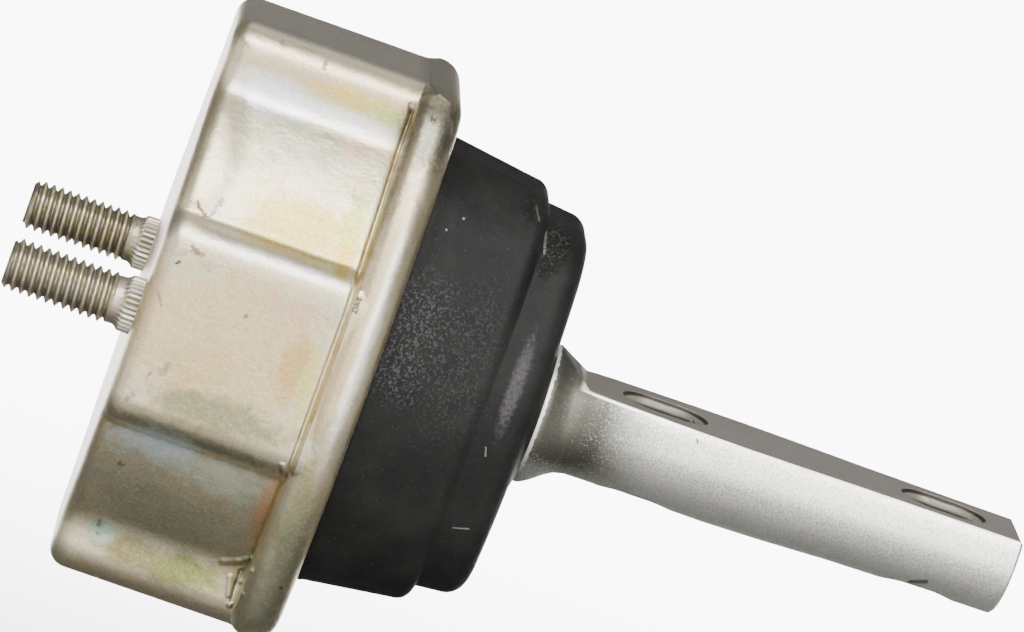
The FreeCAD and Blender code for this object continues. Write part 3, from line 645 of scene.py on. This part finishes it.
# tints of the plating, some of them painted shade and a painted highlight as marked below: centre (x, z),
# reach (x, z), strength, colour
zincTintsAndPaintedLight = [((20.0, 47.6), (30.0, 3.8), 0.8, (0.50, 0.42, 0.26)),
             ((24.0, 46.4), (11.0, 2.4), 0.85, (0.66, 0.50, 0.13)),
             ((31.0, 45.2), (4.0, 2.2), 0.85, (0.44, 0.56, 0.15)),
             ((10.0, 42.0), (9.0, 5.0), 0.85, (0.76, 0.78, 0.90)),
             ((22.0, 42.0), (16.0, 2.4), 0.7, (0.74, 0.77, 0.82)),
             ((27.5, 38.6), (3.2, 1.8), 0.6, (0.80, 0.46, 0.44)),
             ((16.0, 35.0), (14.0, 5.0), 0.7, (0.52, 0.54, 0.38)),
             ((22.0, 23.5), (15.0, 7.0), 0.95, (0.49, 0.385, 0.12)),
             ((31.0, 26.0), (3.0, 9.0), 0.9, (0.38, 0.40, 0.10)),
             ((31.8, 20.6), (2.4, 3.4), 0.85, (0.52, 0.36, 0.07)),
             ((19.0, 17.2), (19.0, 1.9), 0.9, (0.58, 0.62, 0.62)),
             ((17.0, 0.0), (24.0, 20.0), 0.95, (0.66, 0.51, 0.28)),
             ((25.0, 10.0), (7.0, 4.0), 0.75, (0.66, 0.45, 0.30)),
             ((29.5, 0.0), (4.0, 8.5), 0.75, (0.54, 0.36, 0.13)),
             ((32.2, -2.0), (1.6, 12.0), 0.8, (0.62, 0.60, 0.20)),
             ((14.0, -5.0), (9.0, 7.0), 0.5, (0.54, 0.43, 0.22)),
             # painted shade, partly the plating's own olive: dark under the lower edge of the raised panel
             # and its step, then the lower facet painted from a pale teal at its top to dark olive at its
             # foot; the orange and green spots among these are the plating's own colour
             ((20.0, -11.6), (18.0, 4.4), 0.9, (0.26, 0.26, 0.15)),
             ((18.0, -17.6), (24.0, 2.0), 0.9, (0.34, 0.34, 0.25)),
             ((12.0, -21.5), (10.0, 4.5), 0.9, (0.78, 0.90, 0.92)),
             ((24.0, -24.0), (10.0, 5.0), 0.9, (0.82, 0.88, 0.68)),
             ((18.0, -36.5), (19.0, 7.0), 0.8, (0.50, 0.50, 0.38)),
             ((33.0, -26.0), (1.6, 8.0), 0.8, (0.80, 0.50, 0.28)),
             ((24.0, -45.5), (9.5, 4.0), 0.95, (0.235, 0.265, 0.075)),
             ((14.0, -45.0), (9.0, 3.8), 0.95, (0.28, 0.25, 0.11)),
             ((8.0, -43.0), (3.2, 3.0), 0.9, (0.48, 0.60, 0.50)),
             ((37.6, 10.0), (2.0, 30.0), 0.75, (0.60, 0.48, 0.28)),
             # painted light on the bead: painted shade below its middle, a painted highlight band along its
             # front, painted shade at its top end and in the crease behind it
             ((38.5, -25.0), (3.0, 18.0), 0.85, (0.40, 0.38, 0.18)),
             ((40.0, -36.0), (4.0, 20.0), 0.9, (0.27, 0.28, 0.19)),
             ((39.8, 8.0), (1.6, 27.0), 0.8, (0.90, 0.88, 0.82)),
             ((38.6, 45.5), (7.0, 8.5), 1.0, (0.20, 0.19, 0.145)),
             ((36.2, 36.0), (1.6, 12.0), 0.8, (0.34, 0.29, 0.19)),
             ((37.0, -44.0), (4.0, 12.0), 0.7, (0.40, 0.41, 0.28))]
# scratches and stains: from (x, z), to (x, z), half width, strength, colour
zincMarks = [((3.7, 21.8), (5.6, 20.4), 0.32, 0.95, (0.16, 0.08, 0.04)),
             ((7.8, 23.7), (6.6, 20.7), 0.30, 0.85, (0.20, 0.20, 0.18)),
             ((3.6, 13.0), (5.5, 14.9), 0.40, 0.55, (0.50, 0.26, 0.20)),
             ((5.5, 14.9), (7.3, 14.2), 0.42, 0.85, (0.17, 0.14, 0.11)),
             ((8.4, 12.9), (9.2, 12.4), 0.60, 0.45, (0.30, 0.29, 0.26)),
             ((3.9, 11.7), (3.9, 11.7), 0.36, 0.95, (0.04, 0.04, 0.03)),
             ((18.1, 6.5), (18.2, 6.5), 0.28, 0.8, (0.15, 0.13, 0.10)),
             ((22.8, 3.4), (23.5, 2.9), 0.30, 0.5, (0.30, 0.28, 0.22)),
             ((2.5, 5.4), (3.7, 3.6), 0.20, 0.7, (0.25, 0.18, 0.12)),
             ((8.4, -6.2), (7.8, -7.8), 0.50, 0.6, (0.24, 0.18, 0.12)),
             ((5.9, -8.6), (5.4, -9.7), 0.26, 0.7, (0.20, 0.17, 0.12)),
             ((4.2, -13.2), (3.6, -14.3), 0.36, 0.7, (0.20, 0.20, 0.16)),
             ((36.0, 16.2), (35.9, 13.9), 0.34, 0.9, (0.10, 0.07, 0.04)),
             ((2.8, 49.4), (3.3, 48.8), 0.42, 0.75, (0.14, 0.14, 0.10)),
             ((8.7, 51.3), (9.1, 50.9), 0.30, 0.55, (0.25, 0.22, 0.18)),
             ((17.1, 50.6), (17.3, 49.5), 0.30, 0.85, (0.12, 0.12, 0.09)),
             ((37.9, 48.7), (38.0, 48.7), 0.36, 0.95, (0.03, 0.03, 0.02)),
             ((4.6, 42.8), (6.5, 37.6), 0.45, 0.42, (0.36, 0.34, 0.32)),
             ((13.2, 33.6), (14.2, 32.4), 0.22, 0.6, (0.28, 0.26, 0.20)),
             ((16.9, 31.6), (16.5, 28.8), 0.30, 0.5, (0.45, 0.32, 0.26)),
             ((29.1, 32.5), (29.4, 31.1), 0.25, 0.6, (0.28, 0.24, 0.10)),
             ((4.2, 48.9), (6.4, 48.2), 0.60, 0.4, (0.60, 0.42, 0.36)),
             ((35.9, 41.2), (36.2, 36.0), 0.50, 0.4, (0.30, 0.27, 0.20)),
             ((6.5, -27.8), (7.1, -27.9), 0.30, 0.6, (0.14, 0.16, 0.14)),
             ((6.8, -41.5), (7.0, -42.1), 0.40, 0.6, (0.12, 0.13, 0.10)),
             ((7.0, -43.9), (7.2, -44.0), 0.26, 0.6, (0.12, 0.13, 0.10)),
             ((41.0, -39.6), (41.1, -39.8), 0.32, 0.8, (0.06, 0.05, 0.04)),
             ((27.4, -7.2), (27.6, -9.4), 0.24, 0.35, (0.50, 0.50, 0.42))]
# creases pressed into the sheet: from, to, half width, height in millimetres
zincFolds = [((30.1, -40.9), (32.6, -39.8), 0.55, 0.28), ((32.6, -39.8), (34.5, -38.3), 0.55, 0.40),
             ((34.6, -38.6), (34.7, -43.6), 0.50, 0.40), ((34.7, -43.6), (34.0, -48.4), 0.45, 0.30),
             ((32.3, -43.4), (33.2, -46.6), 0.45, 0.25), ((33.7, -41.5), (34.0, -47.6), 0.32, -0.40),
             ((33.2, -16.6), (34.6, -18.4), 0.45, 0.32), ((33.0, -18.0), (34.2, -19.6), 0.30, -0.30),
             ((36.4, 53.0), (40.4, 51.8), 0.22, 0.22), ((40.2, 35.6), (42.2, 33.4), 0.60, -0.04),
             ((33.9, 48.6), (34.4, 47.2), 0.40, -0.20)]


def zincFinish():
    paint = Paint("yellow_zinc_sheet", Metallic=1.0)
    near = 1 - paint.y.between(*zincPlaces["nearSide"])
    onBack = 1 - paint.x.between(*zincPlaces["backFace"])
    cloud = paint.noise(14, 3, 0.55, shift=(3, 9, 5), bend=0.6)
    patchy = paint.noise(4.5, 3, 0.6, shift=(20, 3, 8), bend=0.8)
    fine = paint.noise(1.1, 3, 0.65)
    speck = paint.noise(0.55, 2, 0.6)
    colour = paint.ramp(cloud, zincLook["cloud"])
    for centre, reach, strength, tint in zincTintsAndPaintedLight:
        colour = paint.mix(paint.blob(centre, reach, patchy) * strength, colour, tint)
    # the wall that faces up is a plainer grey
    upward = paint.mix(paint.x.between(*zincPlaces["rim"]), zincLook["upwardWall"], zincLook["upwardRim"])
    colour = paint.mix(paint.z.between(*zincPlaces["topWall"]) * 0.85, colour, upward)
    colour = paint.mix(onBack * 0.6, colour, zincLook["back"])
    colour = paint.mix(0.75, colour, paint.ramp(patchy, zincLook["rainbow"]), "MULTIPLY")
    # a sandy grain, drawn out along the sheet
    grain = paint.noise(0.42, 2, 0.7, stretch=(0.6, 1.0, 1.3))
    colour = paint.mix(grain.between(0.56, 0.40) * 0.45, colour, zincLook["grain"], "MULTIPLY")
    grime = fine.between(0.60, 0.78) * 0.28 + speck.between(0.66, 0.78) * 0.22
    colour = paint.mix(grime, colour, zincLook["grime"])
    colour = paint.mix(speck.between(0.52, 0.3) * 0.12, colour, zincLook["bright"])
    for start, end, width, strength, tint in zincMarks:
        ragged = paint.stroke(start, end) + (speck + fine - 1.0) * (width * 4)
        share = 1 - ragged.between(width * 0.5, width * 1.7)
        colour = paint.mix(share * strength * near, colour, tint)
    height = patchy * 0.10 + fine * 0.05 + grain * 0.02 + paint.noise(9, 2, 0.5) * 0.22
    for start, end, width, lift in zincFolds:
        height = height + (1 - paint.stroke(start, end).between(0, width * 2)) * near * lift
    rough = 0.31 + fine * 0.12 + cloud * 0.06 + grime * 0.3
    return paint.wear(Base_Color=colour, Roughness=rough, Normal=paint.bump(height, 1.0))


# colours, and the radii between which the thread darkens with painted shade and its crests shine with a
# painted highlight
threadLook = {"cloud": [(0.30, (0.38, 0.36, 0.30)), (0.42, (0.56, 0.54, 0.44)), (0.49, (0.62, 0.45, 0.37)),
                        (0.56, (0.46, 0.55, 0.26)), (0.62, (0.74, 0.58, 0.22)), (0.68, (0.52, 0.50, 0.58))],
              "root": (0.19, 0.175, 0.135), "tip": (0.93, 0.91, 0.84), "neck": (0.62, 0.47, 0.42),
              "nearShade": (0.36, 0.34, 0.28), "flank": (3.95, 4.6), "crestHighlight": (4.62, 4.74),
              "rib": (4.8, 5.15)}


def studFinish():
    paint = Paint("zinc_thread", Metallic=1.0)
    cloud = paint.noise(1.6, 3, 0.6, stretch=(1.6, 0.7, 0.7), bend=0.8)
    colour = paint.ramp(cloud, threadLook["cloud"])
    # painted shade: the thread darkens towards its root, the collar between its ribs
    out = ((paint.y.size() - stud["halfSpacing"]) ** 2 + paint.z * paint.z) ** 0.5
    root = 1 - out.between(*threadLook["flank"])
    colour = paint.mix(root * 0.75, colour, threadLook["root"])
    # painted highlight along the crests of the thread
    colour = paint.mix(out.between(*threadLook["crestHighlight"]) * 0.4, colour, threadLook["tip"])
    # the near stud is a little darker, and its plain neck pinkish
    onNear = 1 - paint.y.between(-10, 10)
    neck = paint.x.between(-4.3, -3.9) * (1 - paint.x.between(-2.9, -2.5)) * onNear
    colour = paint.mix(neck * 0.7, colour, threadLook["neck"])
    colour = paint.mix(onNear * 0.3, colour, threadLook["nearShade"])
    ribGapShade = paint.x.between(-2.4, -2.1) * (1 - out.between(*threadLook["rib"]))
    colour = paint.mix(ribGapShade * 0.8, colour, threadLook["root"])
    rough = 0.34 + cloud * 0.22
    height = paint.noise(0.5, 3, 0.6)
    return paint.wear(Base_Color=colour, Roughness=rough, Normal=paint.bump(height, 0.05))


rubberLook = {"dark": (0.0055, 0.0054, 0.0049), "light": (0.0125, 0.0122, 0.0112),
              "scuff": (0.062, 0.060, 0.058), "dust": (0.10, 0.10, 0.09), "sheen": (0.10, 0.092, 0.094),
              "torn": (0.085, 0.083, 0.074), "mark": (0.34, 0.34, 0.32), "specular": 0.2}
# worn places: centre (x, z), reach (x, z)
rubberPatches = {"besideRim": ((47.6, 11.0), (10.0, 15.0)), "towardsStep": ((57.0, 9.0), (9.0, 17.0)),
                 "sheen": ((68.0, 8.7), (1.7, 11.0)), "torn": ((67.0, 32.5), (3.2, 5.5)),
                 "pitted": ((60.5, 38.5), (3.4, 3.6))}
# scuffs on the rubber: from (x, z), to (x, z), half width, strength
rubberMarks = [((49.3, 33.2), (49.4, 33.1), 0.15, 0.6), ((47.0, 30.6), (47.1, 30.5), 0.13, 0.5),
               ((66.5, -20.0), (69.3, -19.2), 0.12, 0.35), ((66.7, -3.4), (67.2, -5.0), 0.14, 0.35),
               ((62.6, 36.4), (61.4, 38.2), 0.14, 0.2), ((64.6, 34.5), (65.4, 31.4), 0.2, 0.35)]


def rubberFinish():
    paint = Paint("moulded_rubber", Metallic=0.0, Specular_IOR_Level=rubberLook["specular"])
    near = 1 - paint.y.between(-6, 6)
    cloud = paint.noise(11, 4, 0.6)
    fine = paint.noise(0.7, 4, 0.7)
    dust = paint.noise(0.38, 2, 0.6)
    grit = paint.noise(0.5, 3, 0.65)
    streak = paint.noise(1.6, 3, 0.7, stretch=(1.0, 1.0, 0.5), bend=1.2)
    colour = paint.mix(cloud.between(0.35, 0.75), rubberLook["dark"], rubberLook["light"])
    # dusty and scuffed near the rim, thinner towards the step
    besideRim = paint.blob(*rubberPatches["besideRim"], cloud)
    scuffed = besideRim.atLeast(paint.blob(*rubberPatches["towardsStep"], cloud) * 0.5)
    colour = paint.mix(scuffed * near * grit.between(0.50, 0.60) * 0.65, colour, rubberLook["scuff"])
    colour = paint.mix(dust.between(0.67, 0.76) * 0.5, colour, rubberLook["dust"])
    # a greyish sheen on the upper tier, and its torn edge
    sheen = paint.blob(*rubberPatches["sheen"], fine) * near
    colour = paint.mix(sheen * (grit * 1.3 - 0.15).atMost(0.8), colour, rubberLook["sheen"])
    torn = paint.blob(*rubberPatches["torn"], cloud) * near
    pitted = paint.blob(*rubberPatches["pitted"], cloud)
    rag = grit.between(0.42, 0.62)
    colour = paint.mix((torn * 0.6 + pitted * 0.2).atMost(1.0) * rag, colour, rubberLook["torn"])
    for start, end, width, strength in rubberMarks:
        ragged = paint.stroke(start, end) + (grit - 0.5) * width * 3
        share = 1 - ragged.between(width * 0.5, width * 1.6)
        colour = paint.mix(share * strength * near, colour, rubberLook["mark"])
    rough = 0.50 + cloud * 0.12 + dust * 0.1
    height = (fine * 0.05 + paint.noise(5, 3, 0.5) * 0.25 + streak * 0.07 + rag * torn * 0.7
              + rag * pitted * 0.35 + grit * scuffed * 0.10)
    return paint.wear(Base_Color=colour, Roughness=rough, Normal=paint.bump(height, 1.0))


armLook = {"dark": (0.60, 0.58, 0.49), "light": (1.0, 0.985, 0.93), "coarse": (0.74, 0.72, 0.65),
           "under": (0.93, 0.91, 0.83), "neck": (0.085, 0.083, 0.064), "seal": (1.0, 0.99, 0.90),
           "flatDark": (0.45, 0.42, 0.36), "flatLight": (0.82, 0.76, 0.68), "holeShade": (0.10, 0.09, 0.07),
           "holeHighlight": (1.0, 0.97, 0.84), "nick": (0.16, 0.15, 0.13)}
# where the finish changes, in millimetres
armPlaces = {"milled": (8.62, 8.76), "milledStart": (81.0, 82.0), "low": (-9.0, -3.0), "under": (-6.0, 2.0),
             "neck": (79.0, 103.0), "seal": 75.5, "sealHeight": (-11.5, -6.0), "burrHighlightHeight": (8.2, 8.45),
             "burrHighlightStart": (80.5, 82.0), "burrHighlightEnd": (98.0, 104.0), "flatPales": (84.0, 110.0),
             "holeLong": (8.3, 8.5), "holeWide": (6.0, 6.1), "holeLow": (-1.0, 0.0), "holeTop": (8.66, 8.76),
             "streakLow": (6.7, 7.5), "streakTop": (7.95, 8.3)}
# nicks in the arm: from (x, z), to (x, z), half width
armNicks = [((150.2, -5.4), (152.6, -4.2), 0.35), ((85.9, 7.9), (86.1, 7.3), 0.12),
            ((103.6, 7.4), (103.9, 6.9), 0.12)]


def armFinish():
    where = armPlaces
    paint = Paint("blasted_steel", Metallic=0.9)
    grain = paint.noise(0.36, 2, 0.6)
    coarse = paint.noise(1.1, 3, 0.6)
    cloud = paint.noise(9, 3, 0.5)
    onRound = 1 - paint.z.between(*where["milled"]) * paint.x.between(*where["milledStart"])
    colour = paint.mix(grain.between(0.40, 0.58), armLook["dark"], armLook["light"])
    colour = paint.mix(coarse.between(0.40, 0.60) * 0.25, colour, armLook["coarse"])
    # the neck is dark, a little lighter underneath, with bright grains
    low = 1 - paint.z.between(*where["low"])
    neck = 1 - paint.x.between(*where["neck"])
    colour = paint.mix((1 - paint.z.between(*where["under"])) * 0.6, colour, armLook["under"])
    shade = neck * (1.25 - low * 0.7 - grain.between(0.56, 0.66) * 0.35)
    colour = paint.mix(shade.atMost(0.96), colour, armLook["neck"])
    # a pale, ragged line where the rubber ends
    seal = 1 - (paint.x - where["seal"] + (coarse - 0.5) * 0.8).size().between(0.22, 0.5)
    colour = paint.mix(seal * paint.z.between(*where["sealHeight"]), colour, armLook["seal"])
    # a painted highlight follows the burr on the near edge of the flat
    burrHighlight = paint.z.between(*where["burrHighlightHeight"]) * (1 - paint.x.between(*where["burrHighlightEnd"]))
    burrHighlight = burrHighlight * paint.x.between(*where["burrHighlightStart"])
    colour = paint.mix(burrHighlight * 0.9, colour, armLook["seal"])
    # the milled flat is smoother and duller than the round side
    flat = paint.mix(paint.x.between(*where["flatPales"]) * 0.6 + cloud * 0.3,
                     armLook["flatDark"], armLook["flatLight"])
    colour = paint.mix(onRound, flat, colour)
    # painted shade: the holes are dark inside, with a painted highlight streak below the chamfer
    hole = paint.x * 0
    for centre in arm["holes"]:
        hole = hole.atLeast(1 - (paint.x - centre).size().between(*where["holeLong"]))
    hole = hole * (1 - paint.y.size().between(*where["holeWide"])) * paint.z.between(*where["holeLow"])
    hole = hole * (1 - paint.z.between(*where["holeTop"]))
    lit = paint.z.between(*where["streakLow"]) * (1 - paint.z.between(*where["streakTop"]))
    colour = paint.mix(hole, colour, paint.mix(lit, armLook["holeShade"], armLook["holeHighlight"]))
    nick = paint.x * 0
    for start, end, width in armNicks:
        nick = nick.atLeast(1 - paint.stroke(start, end).between(width * 0.6, width * 2.0))
    colour = paint.mix(nick * onRound * 0.85, colour, armLook["nick"])
    rough = 0.27 + grain * 0.14 * onRound + cloud * 0.05 + neck * 0.12
    height = (grain * 0.035 + coarse * 0.03) * onRound + grain * 0.012 - nick * 0.06
    return paint.wear(Base_Color=colour, Roughness=rough, Normal=paint.bump(height, 1.0))


def insideFinish(name, dark, light, metal, rough):
    # for the pieces inside, which nothing shows
    paint = Paint(name, Metallic=metal)
    cloud = paint.noise(6, 3, 0.5)
    return paint.wear(Base_Color=paint.mix(cloud, dark, light), Roughness=rough + cloud * 0.15,
                      Normal=paint.bump(paint.noise(1.0, 3, 0.5), 0.03))


zinc = zincFinish()
thread = studFinish()
black = rubberFinish()
blasted = armFinish()
innerSteel = insideFinish("inner_sheet", (0.38, 0.38, 0.37), (0.55, 0.55, 0.53), 1.0, 0.35)
innerRubber = insideFinish("inner_rubber_skin", (0.015, 0.015, 0.015), (0.03, 0.03, 0.03), 0.0, 0.5)

dress(housing, zinc)
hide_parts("housing")
dress(nearStud, thread)
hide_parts("near_stud")
dress(farStud, thread)
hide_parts("far_stud")
dress(rubberSkin, black)
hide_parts("rubber_body")
dress(forgedArm, blasted)
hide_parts("arm")
for name, material in (("clamp_ring", innerSteel), ("lower_orifice_plate", innerSteel),
                       ("upper_orifice_plate", innerSteel), ("diaphragm", innerRubber),
                       ("decoupler_disc", innerRubber)):
    nodes[name].data.materials.clear()
    nodes[name].data.materials.append(material)
print("finishes made")

# ---- floor and light ----
studio = {"floorHeight": -0.3, "floorSize": 16.0, "floorColour": (0.85, 0.85, 0.85), "floorRough": 0.9,
          "world": 0.18}
# azimuth, elevation, distance, width, height, power; azimuth 0 is in front of the near side, 90
# beyond the end of the arm
partBoxes = {"key_box": (-5, 48, 1.5, 1.4, 0.6, 40), "front_box": (5, 9, 2.4, 2.6, 1.5, 33),
             "left_box": (-62, 10, 2.0, 1.4, 1.2, 7), "top_box": (180, 72, 1.6, 1.4, 0.5, 3.2),
             "strip_box": (25, 16, 2.0, 0.3, 1.6, 14)}
# the same, then the place on the floor that the box hangs over, in millimetres, and its spread
floorBoxes = {"backdrop_box": (180, 89.9, 1.5, 4.0, 4.8, 700, (65, 3250, -300), 40),
              "front_floor_box": (180, 89.9, 1.5, 4.0, 3.0, 120, (65, -2250, -300), 40),
              "left_floor_box": (180, 89.9, 1.5, 2.4, 5.0, 80, (-2500, 0, -300), 40),
              "right_floor_box": (180, 89.9, 1.5, 2.4, 5.0, 80, (2700, 0, -300), 40),
              "under_floor_box": (180, 89.9, 0.14, 0.9, 0.26, 0.36, (65, -290, -300), 60)}


def makeFloor():
    material = bpy.data.materials.new("pale_floor")
    material.use_nodes = True
    shader = material.node_tree.nodes["Principled BSDF"]
    shader.inputs["Base Color"].default_value = (*studio["floorColour"], 1)
    shader.inputs["Roughness"].default_value = studio["floorRough"]
    half = studio["floorSize"] / 2
    corners = [(-half, -half, 0), (half, -half, 0), (half, half, 0), (-half, half, 0)]
    mesh = bpy.data.meshes.new("floor")
    mesh.from_pydata(corners, [], [(0, 1, 2, 3)])
    floor = bpy.data.objects.new("floor", mesh)
    floor.location = (0, 0, studio["floorHeight"])
    scene.collection.objects.link(floor)
    mesh.materials.append(material)
    return floor


def softLight(name, azimuth, elevation, distance, width, height, power, aim=cameraFit["aim"], spread=180):
    data = bpy.data.lights.new(name, "AREA")
    data.shape = "RECTANGLE"
    data.size = width
    data.size_y = height
    data.energy = power
    data.spread = math.radians(spread)
    light = bpy.data.objects.new(name, data)
    a, e = math.radians(azimuth), math.radians(elevation)
    towards = Vector((math.sin(a) * math.cos(e), -math.cos(a) * math.cos(e), math.sin(e)))
    light.location = Vector(aim) * mm + towards * distance
    light.rotation_euler = (-towards).to_track_quat("-Z", "Y").to_euler()
    scene.collection.objects.link(light)
    return light


floor = makeFloor()
# the floor has boxes of its own, and the part's boxes leave it out
notTheFloor = bpy.data.collections.new("not_lit_by_boxes")
notTheFloor.objects.link(floor)
for name, settings in partBoxes.items():
    softLight(name, *settings).light_linking.receiver_collection = notTheFloor
notTheFloor.collection_objects[0].light_linking.link_state = "EXCLUDE"
for name, settings in floorBoxes.items():
    softLight(name, *settings)
world = bpy.data.worlds.new("studio")
scene.world = world
world.use_nodes = True
sky = world.node_tree.nodes["Background"]
sky.inputs["Color"].default_value = (1, 1, 1, 1)
sky.inputs["Strength"].default_value = studio["world"]
print("studio lit")
